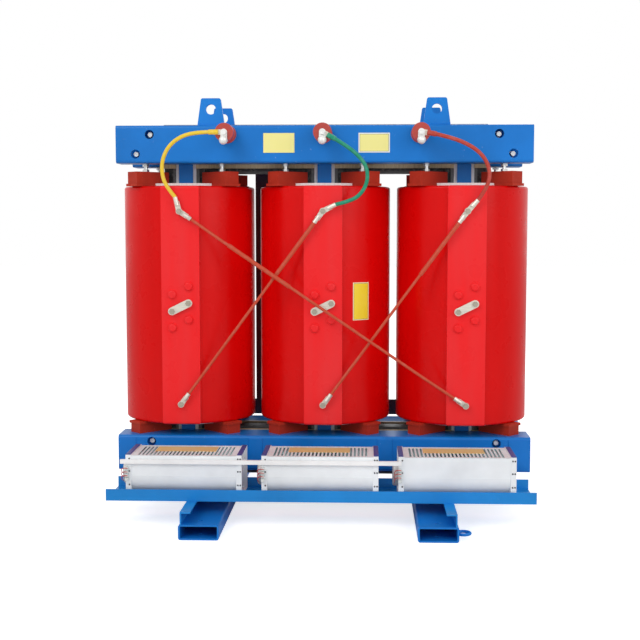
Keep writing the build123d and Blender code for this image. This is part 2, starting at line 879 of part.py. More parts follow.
def fan_motor(index):
    """Round motor on the outside of the left end plate, with a blind bore for the shaft."""
    seat = -fan_body_length / 2 - fan_sheet
    motor = rod_along_x(0, 0, motor_radius, seat, seat - motor_length)
    back = motor.faces().sort_by(Axis.X)[0].edges()
    motor = fillet(back, 6)
    motor -= rod_along_x(0, 0, shaft_radius + shaft_clearance, seat + 1, seat - motor_flange - 20)
    return Pos(fan_x(index), fan_axis_y, fan_axis_height) * motor


def fan_rail(face, side):
    """Angle bar under the fans, with its upright leg on the outside."""
    half = rail_length / 2
    upright = span_box((-half, half), (-face, -face + side * rail_wall), (rail_seat, rail_seat + rail_leg))
    flat = span_box(
        (-half, half), (-face, -face + side * rail_leg * 1.5), (rail_seat, rail_seat + rail_wall)
    )
    return upright + flat


def fan_arm(end):
    """Angle bar on a skid's outer edge that carries the rails."""
    outer = end * (skid_spacing / 2 + skid_width / 2 - skid_wall)
    y = (-skid_length / 2, -lower_clamp_face - 6)
    flat = span_box((outer - end * arm_width, outer), y, (rail_seat - arm_wall, rail_seat))
    upright = span_box((outer - end * arm_wall, outer), y, (skid_height, rail_seat))
    return flat + upright


def wiring_duct():
    """Pale cable duct fixed along the fronts of the fans."""
    face = fan_front + end_plate_margin
    return span_box((-duct_left, duct_right), (-face - duct_depth, -face), (duct_top - duct_height, duct_top))


def bent_bar(points, x_middle, width):
    """Flat bar bent along points in the YZ plane, with the points on its middle."""
    half = bar_thickness / 2
    path = FilletPolyline(*points, radius=bar_bend + half)
    strip = Plane.YZ * trace(path, bar_thickness)
    return Pos(x_middle, 0, 0) * extrude(strip, width / 2, both=True)


def terminal_holes(x, y, top):
    holes = []
    for across in (-0.5, 0.5):
        for down in (0, 1):
            holes.append(
                rod_along_y(
                    x + across * bar_hole_step, top - bar_hole_edge - down * bar_hole_step,
                    bar_hole_radius, y - bar_thickness, y + bar_thickness,
                )
            )
    return holes


def lv_busbar(index):
    """Bar from the inner coil's top edge over the outer coil and up behind the rear clamp."""
    x = phase_x(index)
    foot = (lv_inner_radius + lv_outer_radius) / 2
    level = coil_top + bar_rise
    points = [(foot, coil_top), (foot, level), (bar_reach, level), (bar_reach, bar_top)]
    bar = bent_bar(points, x, bar_width)
    for hole in terminal_holes(x, bar_reach, bar_top):
        bar -= hole
    return bar


def neutral_bar():
    """Star point bar that joins the three inner coils below and rises to the fourth terminal."""
    foot = (lv_inner_radius + lv_outer_radius) / 2
    level = coil_bottom - neutral_drop
    bar = None
    for index in range(3):
        fold = level - neutral_foot_drop
        points = [(foot, coil_bottom), (foot, fold), (neutral_reach, fold)]
        piece = bent_bar(points, phase_x(index), bar_width * 0.7)
        bar = piece if bar is None else bar + piece
    half = phase_pitch + bar_width / 2
    y = (neutral_reach, neutral_reach + bar_thickness)
    bar += span_box((-half, half), y, (level - neutral_bar_below, level + neutral_bar_above))
    x = -phase_pitch + neutral_offset
    bar += span_box((x - bar_width / 2, x + bar_width / 2), y, (level - neutral_bar_below, bar_top))
    for hole in terminal_holes(x, neutral_reach + bar_thickness / 2, bar_top):
        bar -= hole
    return bar


def lv_insulator(x, seat):
    """Ribbed post between the rear clamp and a low voltage bar."""
    length = seat - upper_clamp_face
    height = upper_clamp_bottom + upper_clamp_height / 2
    post = rod_along_y(x, height, lv_post_radius, upper_clamp_face, seat)
    for share in (0.2, 0.5, 0.8):
        middle = upper_clamp_face + length * share
        post += rod_along_y(x, height, lv_shed_radius, middle - length * 0.08, middle + length * 0.08)
    return post


def lv_insulators():
    posts = [lv_insulator(phase_x(index), bar_reach - bar_thickness / 2) for index in range(3)]
    posts.append(lv_insulator(-phase_pitch + neutral_offset, neutral_reach))
    return posts


def write_node(name, solids):
    """Writes one STEP file for a node, from one solid or a list of like solids."""
    shape = Compound(children=solids) if isinstance(solids, list) else solids
    export_step(shape, "parts/" + name + ".step")


def write_core():
    for index, name in enumerate(phase_names):
        write_node("core_limb_" + name, core_limb(phase_x(index)))
        write_node("lv_coil_" + name, lv_coil(phase_x(index)))
        write_node("hv_coil_" + name, hv_coil(phase_x(index)))
    write_node("barriers", [barrier(phase_x(index)) for index in range(3)])
    write_node("lower_yoke", yoke(lower_yoke_height))
    write_node("upper_yoke", yoke(upper_yoke_height))
    write_node("tie_plates", tie_plates())
    write_node("tie_plate_strips", tie_plate_strips())
    write_node("yoke_boards", yoke_boards())
    write_node("top_blocks", support_blocks(True))
    write_node("bottom_blocks", support_blocks(False))
    write_node("jack_bolts", [jack_bolt(x, y) for x, y in jack_places()])


def write_frame():
    for side, name in ((-1, "front"), (1, "rear")):
        write_node("upper_clamp_" + name, upper_clamp(side))
        write_node("lower_clamp_" + name, lower_clamp(side))
    write_node("tie_rods", tie_rods())
    write_node("lifting_lugs", lifting_lugs())
    write_node("core_feet", core_feet())
    write_node("skid_left", skid(-1))
    write_node("skid_right", skid(1))


def write_terminals():
    for index, name in enumerate(phase_names):
        write_node("post_insulator_" + name, post_insulator((index - 1) * post_spacing))
        write_node("delta_link_" + name, delta_link(index))
        write_node("phase_lead_" + name, phase_lead(index))
        write_node("lv_busbar_" + name, lv_busbar(index))
    write_node("earthing_balls", [earthing_ball(index) for index in range(3)])
    write_node("lead_lugs", lead_lugs())
    write_node("tap_links", [tap_link(phase_x(index)) for index in range(3)])
    write_node("terminal_bolts", terminal_bolts())
    write_node("neutral_bar", neutral_bar())
    write_node("lv_insulators", lv_insulators())


def write_fans():
    for index in range(3):
        number = str(index + 1)
        write_node("fan_casing_" + number, fan_casing(index))
        write_node("fan_rotor_" + number, fan_rotor(index))
        write_node("fan_motor_" + number, fan_motor(index))
    write_node("fan_grilles", [fan_grille(index) for index in range(3)])
    write_node("fan_end_plates", [fan_end_plate(index, side) for index in range(3) for side in (-1, 1)])
    write_node("fan_rails", [fan_rail(front_rail_face, 1), fan_rail(rear_rail_face, -1)])
    write_node("fan_arms", [fan_arm(-1), fan_arm(1)])
    write_node("wiring_duct", wiring_duct())


os.makedirs("parts", exist_ok=True)
write_core()
write_frame()
write_terminals()
write_fans()
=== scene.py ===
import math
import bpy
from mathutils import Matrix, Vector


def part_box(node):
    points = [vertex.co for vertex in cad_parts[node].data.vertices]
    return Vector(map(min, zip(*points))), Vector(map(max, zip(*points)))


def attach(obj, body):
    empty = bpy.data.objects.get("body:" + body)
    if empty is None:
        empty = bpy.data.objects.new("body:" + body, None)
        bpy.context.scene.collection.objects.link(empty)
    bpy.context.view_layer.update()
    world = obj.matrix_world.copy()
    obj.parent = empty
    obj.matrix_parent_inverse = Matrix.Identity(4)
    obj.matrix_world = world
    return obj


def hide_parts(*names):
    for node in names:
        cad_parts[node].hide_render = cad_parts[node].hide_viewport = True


bl_info = {
    "name": "Dry Type Transformer",
    "version": (1, 0, 0),
    "blender": (4, 5, 0),
    "location": "View3D > Sidebar > Transformer",
    "description": "Dresses a three-phase cast resin transformer with its finishes, cables and plates",
    "category": "Object",
}

import bpy
from mathutils import Vector

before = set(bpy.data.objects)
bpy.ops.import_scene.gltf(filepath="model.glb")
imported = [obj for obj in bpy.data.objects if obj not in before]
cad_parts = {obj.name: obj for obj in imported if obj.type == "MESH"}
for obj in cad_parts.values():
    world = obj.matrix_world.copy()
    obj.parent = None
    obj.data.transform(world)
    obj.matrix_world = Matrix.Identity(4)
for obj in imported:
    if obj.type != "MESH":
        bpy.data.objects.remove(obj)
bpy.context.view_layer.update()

ROOT = "transformer"
PHASES = ("a", "b", "c")
FANS = ("1", "2", "3")
MM = 0.001
LUG_REACH = 0.044
TOP_TERMINAL_HEIGHT = 0.925
BOTTOM_TERMINAL_HEIGHT = 0.328


def node_middle(name):
    low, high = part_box(name)
    return (low + high) / 2


# ---------------------------------------------------------------- settings


class TransformerColours(bpy.types.PropertyGroup):
    steel: bpy.props.FloatVectorProperty(
        name="Frame paint", description="Enamel on clamps, skids and rails",
        subtype="COLOR", default=(0.005, 0.185, 0.62), min=0, max=1,
    )
    resin: bpy.props.FloatVectorProperty(
        name="Coil resin", description="Cast resin of the outer coils",
        subtype="COLOR", default=(0.76, 0.0015, 0.0015), min=0, max=1,
    )
    panel: bpy.props.FloatVectorProperty(
        name="Coil panel", description="Smoother resin of the flat terminal panel",
        subtype="COLOR", default=(0.93, 0.020, 0.023), min=0, max=1,
    )
    block: bpy.props.FloatVectorProperty(
        name="Support blocks", description="Moulded blocks and post insulators",
        subtype="COLOR", default=(0.50, 0.034, 0.014), min=0, max=1,
    )
    post: bpy.props.FloatVectorProperty(
        name="Post insulators", description="Moulded posts of the terminals",
        subtype="COLOR", default=(0.50, 0.07, 0.055), min=0, max=1,
    )
    sleeve: bpy.props.FloatVectorProperty(
        name="Link sleeve", description="Insulation of the delta links",
        subtype="COLOR", default=(0.58, 0.080, 0.036), min=0, max=1,
    )
    plate: bpy.props.FloatVectorProperty(
        name="Plates", description="Bare plates on the upper clamp",
        subtype="COLOR", default=(0.92, 0.86, 0.30), min=0, max=1,
    )
    sticker: bpy.props.FloatVectorProperty(
        name="Sticker", description="Bare sticker on the middle coil",
        subtype="COLOR", default=(0.95, 0.72, 0.01), min=0, max=1,
    )


class TransformerSizes(bpy.types.PropertyGroup):
    lead_diameter: bpy.props.FloatProperty(
        name="Lead diameter", description="Outside diameter of a phase lead",
        default=0.012, min=0.004, unit="LENGTH",
    )
    plate_width: bpy.props.FloatProperty(
        name="Plate width", description="Width of a plate on the upper clamp",
        default=0.096, unit="LENGTH",
    )
    plate_height: bpy.props.FloatProperty(
        name="Plate height", description="Height of a plate on the upper clamp",
        default=0.060, unit="LENGTH",
    )
    sticker_width: bpy.props.FloatProperty(
        name="Sticker width", description="Width of the sticker on the middle coil",
        default=0.058, unit="LENGTH",
    )
    sticker_height: bpy.props.FloatProperty(
        name="Sticker height", description="Height of the sticker on the middle coil",
        default=0.117, unit="LENGTH",
    )


class StageSettings(bpy.types.PropertyGroup):
    camera_place: bpy.props.FloatVectorProperty(
        name="Camera place", description="Where the camera stands", subtype="TRANSLATION",
        default=(0.1296, -3.7632, 0.8873),
    )
    camera_turn: bpy.props.FloatProperty(
        name="Camera turn", description="Turn to the left of straight ahead", subtype="ANGLE",
        default=math.radians(2.234),
    )
    camera_dip: bpy.props.FloatProperty(
        name="Camera dip", description="Tilt below the level", subtype="ANGLE",
        default=math.radians(4.761),
    )
    lens: bpy.props.FloatProperty(
        name="Lens", description="Focal length on a 36 mm sensor", default=65.13, min=10,
    )


# ---------------------------------------------------------------- shader groups


def new_group(name, inputs, outputs):
    """Shader node group with float or colour sockets, its two end nodes and the object's own place."""
    group = bpy.data.node_groups.new(name, "ShaderNodeTree")
    kinds = {float: "NodeSocketFloat", tuple: "NodeSocketColor"}
    for label, value in inputs:
        socket = group.interface.new_socket(label, in_out="INPUT", socket_type=kinds[type(value)])
        socket.default_value = value
    for label, kind in outputs:
        group.interface.new_socket(label, in_out="OUTPUT", socket_type=kinds[kind])
    start = add_node(group, "NodeGroupInput", (-900, 0))
    end = add_node(group, "NodeGroupOutput", (600, 0))
    return group, start, end, object_place(group)


def add_node(tree, kind, place=(0, 0), **settings):
    node = tree.nodes.new(kind)
    node.location = place
    for key, value in settings.items():
        setattr(node, key, value)
    return node


def object_place(tree):
    return add_node(tree, "ShaderNodeTexCoord", (-1200, -300)).outputs["Object"]


def split_axes(tree, vector):
    node = add_node(tree, "ShaderNodeSeparateXYZ")
    tree.links.new(vector, node.inputs[0])
    return node.outputs


def stretch(tree, vector, scale):
    node = add_node(tree, "ShaderNodeMapping")
    node.inputs["Scale"].default_value = scale
    tree.links.new(vector, node.inputs["Vector"])
    return node.outputs[0]


def noise(tree, coordinates, scale, detail=3.0, roughness=0.5):
    node = add_node(tree, "ShaderNodeTexNoise")
    node.inputs["Scale"].default_value = scale
    node.inputs["Detail"].default_value = detail
    node.inputs["Roughness"].default_value = roughness
    tree.links.new(coordinates, node.inputs["Vector"])
    return node.outputs["Fac"]


def map_range(tree, value, low, high, to_low=0.0, to_high=1.0):
    node = add_node(tree, "ShaderNodeMapRange")
    node.inputs["From Min"].default_value = low
    node.inputs["From Max"].default_value = high
    node.inputs["To Min"].default_value = to_low
    node.inputs["To Max"].default_value = to_high
    tree.links.new(value, node.inputs["Value"])
    return node.outputs["Result"]


def grey(tree, value):
    """Colour whose three channels all follow one value."""
    node = add_node(tree, "ShaderNodeCombineColor")
    for socket in node.inputs[:3]:
        tree.links.new(value, socket)
    return node.outputs[0]


def mix_colour(tree, factor, first, second, blend="MIX"):
    node = add_node(tree, "ShaderNodeMix", data_type="RGBA", blend_type=blend)
    factor_socket, first_socket, second_socket = (node.inputs[index] for index in (0, 6, 7))
    for socket, value in ((factor_socket, factor), (first_socket, first), (second_socket, second)):
        if isinstance(value, bpy.types.NodeSocket):
            tree.links.new(value, socket)
        else:
            socket.default_value = value if isinstance(value, float) else (*value[:3], 1.0)
    return node.outputs[2]


def math_node(tree, operation, first, second=0.0):
    node = add_node(tree, "ShaderNodeMath", operation=operation)
    for socket, value in ((node.inputs[0], first), (node.inputs[1], second)):
        if isinstance(value, bpy.types.NodeSocket):
            tree.links.new(value, socket)
        else:
            socket.default_value = value
    return node.outputs[0]


def build_enamel_group():
    """Brushed and sprayed enamel: cloudy tone, fine orange peel and small pale scuffs."""
    group, start, end, place = new_group(
        "Enamel",
        [("Colour", (0.5, 0.5, 0.5, 1.0)), ("Scuffs", 0.5), ("Peel", 1.0)],
        [("Colour", tuple), ("Roughness", float), ("Height", float)],
    )
    clouds = noise(group, place, 5.0, 4.0)
    tone = map_range(group, clouds, 0.3, 0.7, 0.86, 1.12)
    toned = mix_colour(group, 1.0, start.outputs["Colour"], grey(group, tone), "MULTIPLY")
    specks = noise(group, place, 70.0, 6.0, 0.7)
    patches = noise(group, place, 9.0, 2.0)
    speck_mask = map_range(group, specks, 0.66, 0.72)
    patch_mask = map_range(group, patches, 0.50, 0.64)
    scuff = math_node(group, "MULTIPLY", speck_mask, patch_mask)
    scuff = math_node(group, "MULTIPLY", scuff, start.outputs["Scuffs"])
    pale = mix_colour(group, 0.55, start.outputs["Colour"], (0.75, 0.82, 0.9))
    scuffed = mix_colour(group, scuff, toned, pale)
    group.links.new(scuffed, end.inputs["Colour"])
    rough = map_range(group, clouds, 0.3, 0.7, 0.30, 0.42)
    group.links.new(rough, end.inputs["Roughness"])
    peel = noise(group, place, 160.0, 2.0)
    peel_height = math_node(group, "MULTIPLY", peel, start.outputs["Peel"])
    group.links.new(peel_height, end.inputs["Height"])
    return group


def build_resin_group():
    """Cast resin: slow colour drift, faint vertical streaks and a slightly uneven skin."""
    group, start, end, place = new_group(
        "Cast Resin",
        [("Colour", (0.5, 0.5, 0.5, 1.0)), ("Deep Colour", (0.4, 0.0, 0.0, 1.0)), ("Drift", 0.5)],
        [("Colour", tuple), ("Roughness", float), ("Height", float)],
    )
    streaks = noise(group, stretch(group, place, (9.0, 9.0, 1.2)), 1.6, 4.0)
    drift = map_range(group, streaks, 0.42, 0.72)
    drift = math_node(group, "MULTIPLY", drift, start.outputs["Drift"])
    colour = mix_colour(group, drift, start.outputs["Colour"], start.outputs["Deep Colour"])
    group.links.new(colour, end.inputs["Colour"])
    skin = noise(group, place, 14.0, 3.0)
    rough = map_range(group, skin, 0.3, 0.7, 0.24, 0.36)
    group.links.new(rough, end.inputs["Roughness"])
    fine = noise(group, place, 45.0, 2.0)
    height = math_node(group, "ADD", skin, fine)
    group.links.new(height, end.inputs["Height"])
    return group


def build_sheet_edges_group():
    """Stacked steel sheets: fine lines across the stack, with dull spots in the varnish."""
    group, start, end, place = new_group(
        "Stacked Sheets", [("Sheets Per Metre", 900.0)], [("Line", float), ("Spots", float)]
    )
    depth = split_axes(group, place)["Y"]
    across = math_node(group, "MULTIPLY", depth, start.outputs["Sheets Per Metre"])
    wave = math_node(group, "SINE", across)
    group.links.new(map_range(group, wave, -1.0, 1.0), end.inputs["Line"])
    spots = noise(group, place, 110.0, 5.0, 0.6)
    group.links.new(map_range(group, spots, 0.5, 0.7), end.inputs["Spots"])
    return group


def build_brushed_group():
    """Plated or rolled metal: fine streaks along X with a cloudy roughness."""
    group, start, end, place = new_group(
        "Brushed Metal", [("Grain", 1.0)], [("Tone", float), ("Roughness", float)]
    )
    grain = noise(group, stretch(group, place, (20.0, 260.0, 260.0)), 2.0, 4.0)
    clouds = noise(group, place, 30.0, 3.0)
    tone = map_range(group, grain, 0.3, 0.7, 0.85, 1.05)
    group.links.new(tone, end.inputs["Tone"])
    rough = map_range(group, clouds, 0.3, 0.7, 0.26, 0.42)
    rough = math_node(group, "MULTIPLY", rough, start.outputs["Grain"])
    group.links.new(rough, end.inputs["Roughness"])
    return group


shader_groups = {}


def build_shader_groups():
    shader_groups["enamel"] = build_enamel_group()
    shader_groups["resin"] = build_resin_group()
    shader_groups["sheets"] = build_sheet_edges_group()
    shader_groups["brushed"] = build_brushed_group()


# ---------------------------------------------------------------- materials


def new_material(name, **values):
    """Material with one Principled shader whose plain sockets are set here."""
    material = bpy.data.materials.new(name)
    material.use_nodes = True
    shader = material.node_tree.nodes["Principled BSDF"]
    for label, value in values.items():
        shader.inputs[label.replace("_", " ")].default_value = value
    return material, material.node_tree, shader


def place_group(tree, key, **values):
    node = add_node(tree, "ShaderNodeGroup", (-500, 0), node_tree=shader_groups[key])
    for label, value in values.items():
        node.inputs[label.replace("_", " ")].default_value = value
    return node


def bump(tree, shader, height, strength, distance):
    node = add_node(tree, "ShaderNodeBump", (-200, -300))
    node.inputs["Strength"].default_value = strength
    node.inputs["Distance"].default_value = distance
    tree.links.new(height, node.inputs["Height"])
    tree.links.new(node.outputs["Normal"], shader.inputs["Normal"])


def enamel(name, colour, scuffs=0.8, coat=0.06):
    material, tree, shader = new_material(
        name, Coat_Weight=coat, Coat_Roughness=0.2, Specular_IOR_Level=0.25
    )
    paint = place_group(tree, "enamel", Colour=(*colour, 1.0), Scuffs=scuffs, Peel=1.0)
    tree.links.new(paint.outputs["Colour"], shader.inputs["Base Color"])
    tree.links.new(paint.outputs["Roughness"], shader.inputs["Roughness"])
    bump(tree, shader, paint.outputs["Height"], 0.25, 0.0004)
    return material


def coil_resin(name, colours, middle_x, half_panel, panel_front):
    """Glossy red resin that turns a lighter red on the coil's flat panel."""
    material, tree, shader = new_material(
        name, Coat_Weight=0.04, Coat_Roughness=0.12, Specular_IOR_Level=0.14
    )
    body = place_group(
        tree, "resin", Colour=(*colours.resin, 1.0), Deep_Colour=(0.62, 0.001, 0.001, 1.0), Drift=0.5
    )
    face = place_group(
        tree, "resin", Colour=(*colours.panel, 1.0), Deep_Colour=(0.86, 0.042, 0.047, 1.0), Drift=0.7
    )
    axes = split_axes(tree, object_place(tree))
    aside = math_node(tree, "SUBTRACT", axes["X"], middle_x)
    aside = math_node(tree, "ABSOLUTE", aside)
    inside = math_node(tree, "LESS_THAN", aside, half_panel)
    front = math_node(tree, "LESS_THAN", axes["Y"], panel_front)
    mask = math_node(tree, "MULTIPLY", inside, front)
    colour = mix_colour(tree, mask, body.outputs["Colour"], face.outputs["Colour"])
    tree.links.new(colour, shader.inputs["Base Color"])
    tree.links.new(body.outputs["Roughness"], shader.inputs["Roughness"])
    bump(tree, shader, body.outputs["Height"], 0.12, 0.0008)
    return material


def moulded(name, colour, mottling=0.35, roughness=0.55, coat=0.0):
    """Moulded compound with flow marks and pale filler specks."""
    material, tree, shader = new_material(
        name, Roughness=roughness, Coat_Weight=coat, Coat_Roughness=0.25, Specular_IOR_Level=0.2
    )
    place = object_place(tree)
    flow = noise(tree, place, 22.0, 5.0, 0.6)
    darker = tuple(part * 0.62 for part in colour)
    flow_mask = map_range(tree, flow, 0.4, 0.7, 0.0, mottling)
    base = mix_colour(tree, flow_mask, colour, darker)
    specks = noise(tree, place, 240.0, 2.0)
    speck_mask = map_range(tree, specks, 0.68, 0.74, 0.0, 0.4)
    lighter = tuple(min(1.0, part * 1.6 + 0.12) for part in colour)
    base = mix_colour(tree, speck_mask, base, lighter)
    tree.links.new(base, shader.inputs["Base Color"])
    bump(tree, shader, flow, 0.3, 0.0006)
    return material


def core_sheets(name):
    material, tree, shader = new_material(name, Metallic=0.55, Roughness=0.5)
    stack = place_group(tree, "sheets", Sheets_Per_Metre=2400.0)
    base = mix_colour(tree, stack.outputs["Line"], (0.035, 0.036, 0.04), (0.12, 0.12, 0.125))
    base = mix_colour(tree, stack.outputs["Spots"], base, (0.15, 0.15, 0.145))
    tree.links.new(base, shader.inputs["Base Color"])
    bump(tree, shader, stack.outputs["Line"], 0.5, 0.0005)
    return material


def metal(name, colour, grain=1.0, metallic=0.9):
    material, tree, shader = new_material(name, Metallic=metallic)
    brushed = place_group(tree, "brushed", Grain=grain)
    base = mix_colour(tree, 1.0, colour, grey(tree, brushed.outputs["Tone"]), "MULTIPLY")
    tree.links.new(base, shader.inputs["Base Color"])
    tree.links.new(brushed.outputs["Roughness"], shader.inputs["Roughness"])
    return material


def bar_painted_shade(name, shade_top):
    """Flat bar, near black up to a height as painted shade for the dark gap between the coils, and
    bare metal above it.
    """
    material, tree, shader = new_material(name)
    brushed = place_group(tree, "brushed", Grain=1.2)
    place = object_place(tree)
    bare = math_node(tree, "GREATER_THAN", split_axes(tree, place)["Z"], shade_top)
    bar_mottle = noise(tree, place, 90.0, 4.0)
    # The near-black colour below the height is painted shade of the gap between the coils
    dark = mix_colour(tree, bar_mottle, (0.010, 0.011, 0.013), (0.035, 0.037, 0.042))
    tree.links.new(mix_colour(tree, bare, dark, (0.76, 0.77, 0.76)), shader.inputs["Base Color"])
    tree.links.new(bare, shader.inputs["Metallic"])
    rough = math_node(tree, "ADD", brushed.outputs["Roughness"], 0.08)
    tree.links.new(rough, shader.inputs["Roughness"])
    bump(tree, shader, bar_mottle, 0.2, 0.0003)
    return material


def laminate(name, colour, roughness=0.5, fibre_tone=0.7):
    """Glass laminate or pressboard with fibres along its length."""
    material, tree, shader = new_material(name, Roughness=roughness)
    fibres = noise(tree, stretch(tree, object_place(tree), (90.0, 90.0, 8.0)), 3.0, 4.0)
    darker = tuple(part * fibre_tone for part in colour)
    mask = map_range(tree, fibres, 0.4, 0.75)
    tree.links.new(mix_colour(tree, mask, colour, darker), shader.inputs["Base Color"])
    bump(tree, shader, fibres, 0.3, 0.0004)
    return material


def dusty(tree, place, colour, paleness):
    """Colour with pale dust on it, and the dust's own pattern."""
    dust = noise(tree, place, 60.0, 5.0, 0.6)
    paler = tuple(min(1.0, part * 0.8 + paleness) for part in colour)
    mask = map_range(tree, dust, 0.48, 0.75, 0.0, 0.5)
    return mix_colour(tree, mask, colour, paler), dust


def cable_jacket(name, colour):
    """Soft cable jacket, slightly dusty, with a faint bump from the dust."""
    material, tree, shader = new_material(
        name, Roughness=0.42, Coat_Weight=0.05, Coat_Roughness=0.3, Specular_IOR_Level=0.3
    )
    base, dust = dusty(tree, object_place(tree), colour, 0.16)
    tree.links.new(base, shader.inputs["Base Color"])
    bump(tree, shader, dust, 0.2, 0.0003)
    return material


def link_finish(name, colour, ends):
    """Sleeved bar whose lugs, round each of its two ends, are bare tinned metal."""
    material, tree, shader = new_material(name, Specular_IOR_Level=0.3)
    place = object_place(tree)
    axes = split_axes(tree, place)
    bare = None
    for x, z in ends:
        aside = math_node(tree, "SUBTRACT", axes["X"], x)
        above = math_node(tree, "SUBTRACT", axes["Z"], z)
        aside = math_node(tree, "MULTIPLY", aside, aside)
        above = math_node(tree, "MULTIPLY", above, above)
        near = math_node(tree, "LESS_THAN", math_node(tree, "ADD", aside, above), LUG_REACH**2)
        bare = near if bare is None else math_node(tree, "MAXIMUM", bare, near)
    sleeve, dust = dusty(tree, place, colour, 0.12)
    dull = map_range(tree, dust, 0.4, 0.7)
    tin = mix_colour(tree, dull, (0.82, 0.79, 0.70), (0.58, 0.55, 0.48))
    tree.links.new(mix_colour(tree, bare, sleeve, tin), shader.inputs["Base Color"])
    tree.links.new(map_range(tree, bare, 0.0, 1.0, 0.0, 0.6), shader.inputs["Metallic"])
    tree.links.new(map_range(tree, bare, 0.0, 1.0, 0.45, 0.34), shader.inputs["Roughness"])
    bump(tree, shader, dust, 0.2, 0.0003)
    return material


def printed_field(name, colour, size, frames=()):
    """Bare printed film on the piece's UV map. Each frame is an outer and inner inset and a colour."""
    material, tree, shader = new_material(name, Roughness=0.38, Coat_Weight=0.3, Coat_Roughness=0.2)
    across_face = split_axes(tree, add_node(tree, "ShaderNodeUVMap").outputs[0])
    fade = noise(tree, object_place(tree), 40.0, 3.0)
    base = mix_colour(
        tree, map_range(tree, fade, 0.4, 0.7, 0.0, 0.25), colour,
        tuple(min(1.0, part * 0.9 + 0.08) for part in colour),
    )
    inset = None
    for axis, length in (("X", size[0]), ("Y", size[1])):
        along = math_node(tree, "MULTIPLY", across_face[axis], length)
        nearest = math_node(tree, "MINIMUM", along, math_node(tree, "SUBTRACT", length, along))
        inset = nearest if inset is None else math_node(tree, "MINIMUM", inset, nearest)
    for outer, inner, frame_colour in frames:
        past = math_node(tree, "GREATER_THAN", inset, outer)
        before = math_node(tree, "LESS_THAN", inset, inner)
        base = mix_colour(tree, math_node(tree, "MULTIPLY", past, before), base, frame_colour)
    tree.links.new(base, shader.inputs["Base Color"])
    bump(tree, shader, fade, 0.1, 0.0002)
    return material


materials = {}
PANEL_HALF_WIDTH = 0.059
PANEL_EDGE = 0.0002
# Height up to which the neutral bar carries painted shade
PAINTED_SHADE_TOP = 1.12
LUG_PAINT_GAIN = 1.12
LUG_SCUFFS = 2.2


def build_materials(colours):
    materials["frame paint"] = enamel("Blue enamel", colours.steel)
    brighter = tuple(part * LUG_PAINT_GAIN for part in colours.steel)
    materials["lug paint"] = enamel("Rough enamel", brighter, LUG_SCUFFS)
    materials["tray paint"] = enamel("Rail enamel", (0.012, 0.25, 0.68), 0.3)
    for name in PHASES:
        low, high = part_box("hv_coil_" + name)
        middle = (low.x + high.x) / 2
        radius = (high.x - low.x) / 2
        front = -math.sqrt(radius**2 - PANEL_HALF_WIDTH**2)
        materials["coil " + name] = coil_resin(
            "Cast resin " + name, colours, middle, PANEL_HALF_WIDTH + PANEL_EDGE, front
        )
    materials["inner coil"] = moulded("Inner coil varnish", (0.40, 0.10, 0.05), 0.3, 0.4, 0.3)
    materials["block"] = moulded("Moulded block", colours.block)
    materials["post"] = moulded("Moulded post", colours.post, 0.25, 0.4, 0.3)
    materials["core"] = core_sheets("Stacked core sheets")
    materials["plated"] = metal("Plated steel", (0.82, 0.82, 0.80))
    materials["tinned"] = metal("Tinned copper", (0.80, 0.76, 0.66), 1.1, 0.6)
    materials["stud"] = metal("Stud ends", (0.90, 0.90, 0.88), 1.2, 0.35)
    materials["alloy"] = metal("Rolled aluminium", (0.80, 0.81, 0.80), 1.2)
    materials["rotor"] = metal("Rotor aluminium", (0.70, 0.71, 0.72), 1.0)
    materials["pale board"] = laminate("Glass laminate", (0.97, 0.97, 0.95), 0.5, 0.86)
    materials["press board"] = laminate("Pressboard", (0.62, 0.52, 0.33), 0.7)
    materials["fan white"] = enamel("White powder coat", (0.88, 0.91, 0.93), 0.05, 0.05)
    # The grille's cyan tint is painted light: it offsets the red light bounced from the coils onto the
    # white fan tops
    materials["grille bounce offset"] = enamel("Grille coat with bounce offset", (0.80, 0.92, 0.94), 0.05, 0.05)
    materials["bar painted shade"] = bar_painted_shade("Aluminium bar, painted shade", PAINTED_SHADE_TOP)
    materials["duct white"] = enamel("Duct plastic", (0.92, 0.92, 0.92), 0.0, 0.1)
    materials["motor"] = metal("Motor case", (0.62, 0.61, 0.60), 1.2, 0.5)
    materials["bolt"] = metal("Terminal bolt", (0.46, 0.42, 0.34), 1.0, 0.8)
    for index, name in enumerate(PHASES):
        other = PHASES[(index + 2) % 3]
        ends = (
            (node_middle("hv_coil_" + name).x, TOP_TERMINAL_HEIGHT),
            (node_middle("hv_coil_" + other).x, BOTTOM_TERMINAL_HEIGHT),
        )
        materials["sleeve " + name] = link_finish("Link sleeve " + name, colours.sleeve, ends)
    materials["lead a"] = cable_jacket("Yellow jacket", (0.90, 0.62, 0.04))
    materials["lead b"] = cable_jacket("Green jacket", (0.010, 0.30, 0.17))
    materials["lead c"] = cable_jacket("Red jacket", (0.50, 0.055, 0.035))


NODE_FINISH = {
    "tie_plates": "frame paint", "lifting_lugs": "lug paint", "core_feet": "frame paint",
    "skid_left": "frame paint", "skid_right": "frame paint", "fan_arms": "tray paint",
    "fan_rails": "tray paint", "upper_clamp_front": "frame paint", "upper_clamp_rear": "frame paint",
    "lower_clamp_front": "frame paint", "lower_clamp_rear": "frame paint",
    "lower_yoke": "core", "upper_yoke": "core", "tie_plate_strips": "pale board",
    "barriers": "pale board", "wiring_duct": "duct white", "yoke_boards": "press board",
    "top_blocks": "block", "bottom_blocks": "block", "lv_insulators": "post",
    "jack_bolts": "plated", "tie_rods": "plated",
    "terminal_bolts": "bolt", "earthing_balls": "stud", "lead_lugs": "tinned", "tap_links": "tinned",
    "neutral_bar": "bar painted shade", "fan_grilles": "grille bounce offset", "fan_end_plates": "fan white",
}
PHASE_FINISH = {
    "core_limb_": "core", "lv_coil_": "inner coil", "post_insulator_": "post", "lv_busbar_": "alloy",
}
FAN_FINISH = {"fan_casing_": "fan white", "fan_rotor_": "rotor", "fan_motor_": "motor"}


def give_material(piece, key):
    piece.data.materials.clear()
    piece.data.materials.append(materials[key])


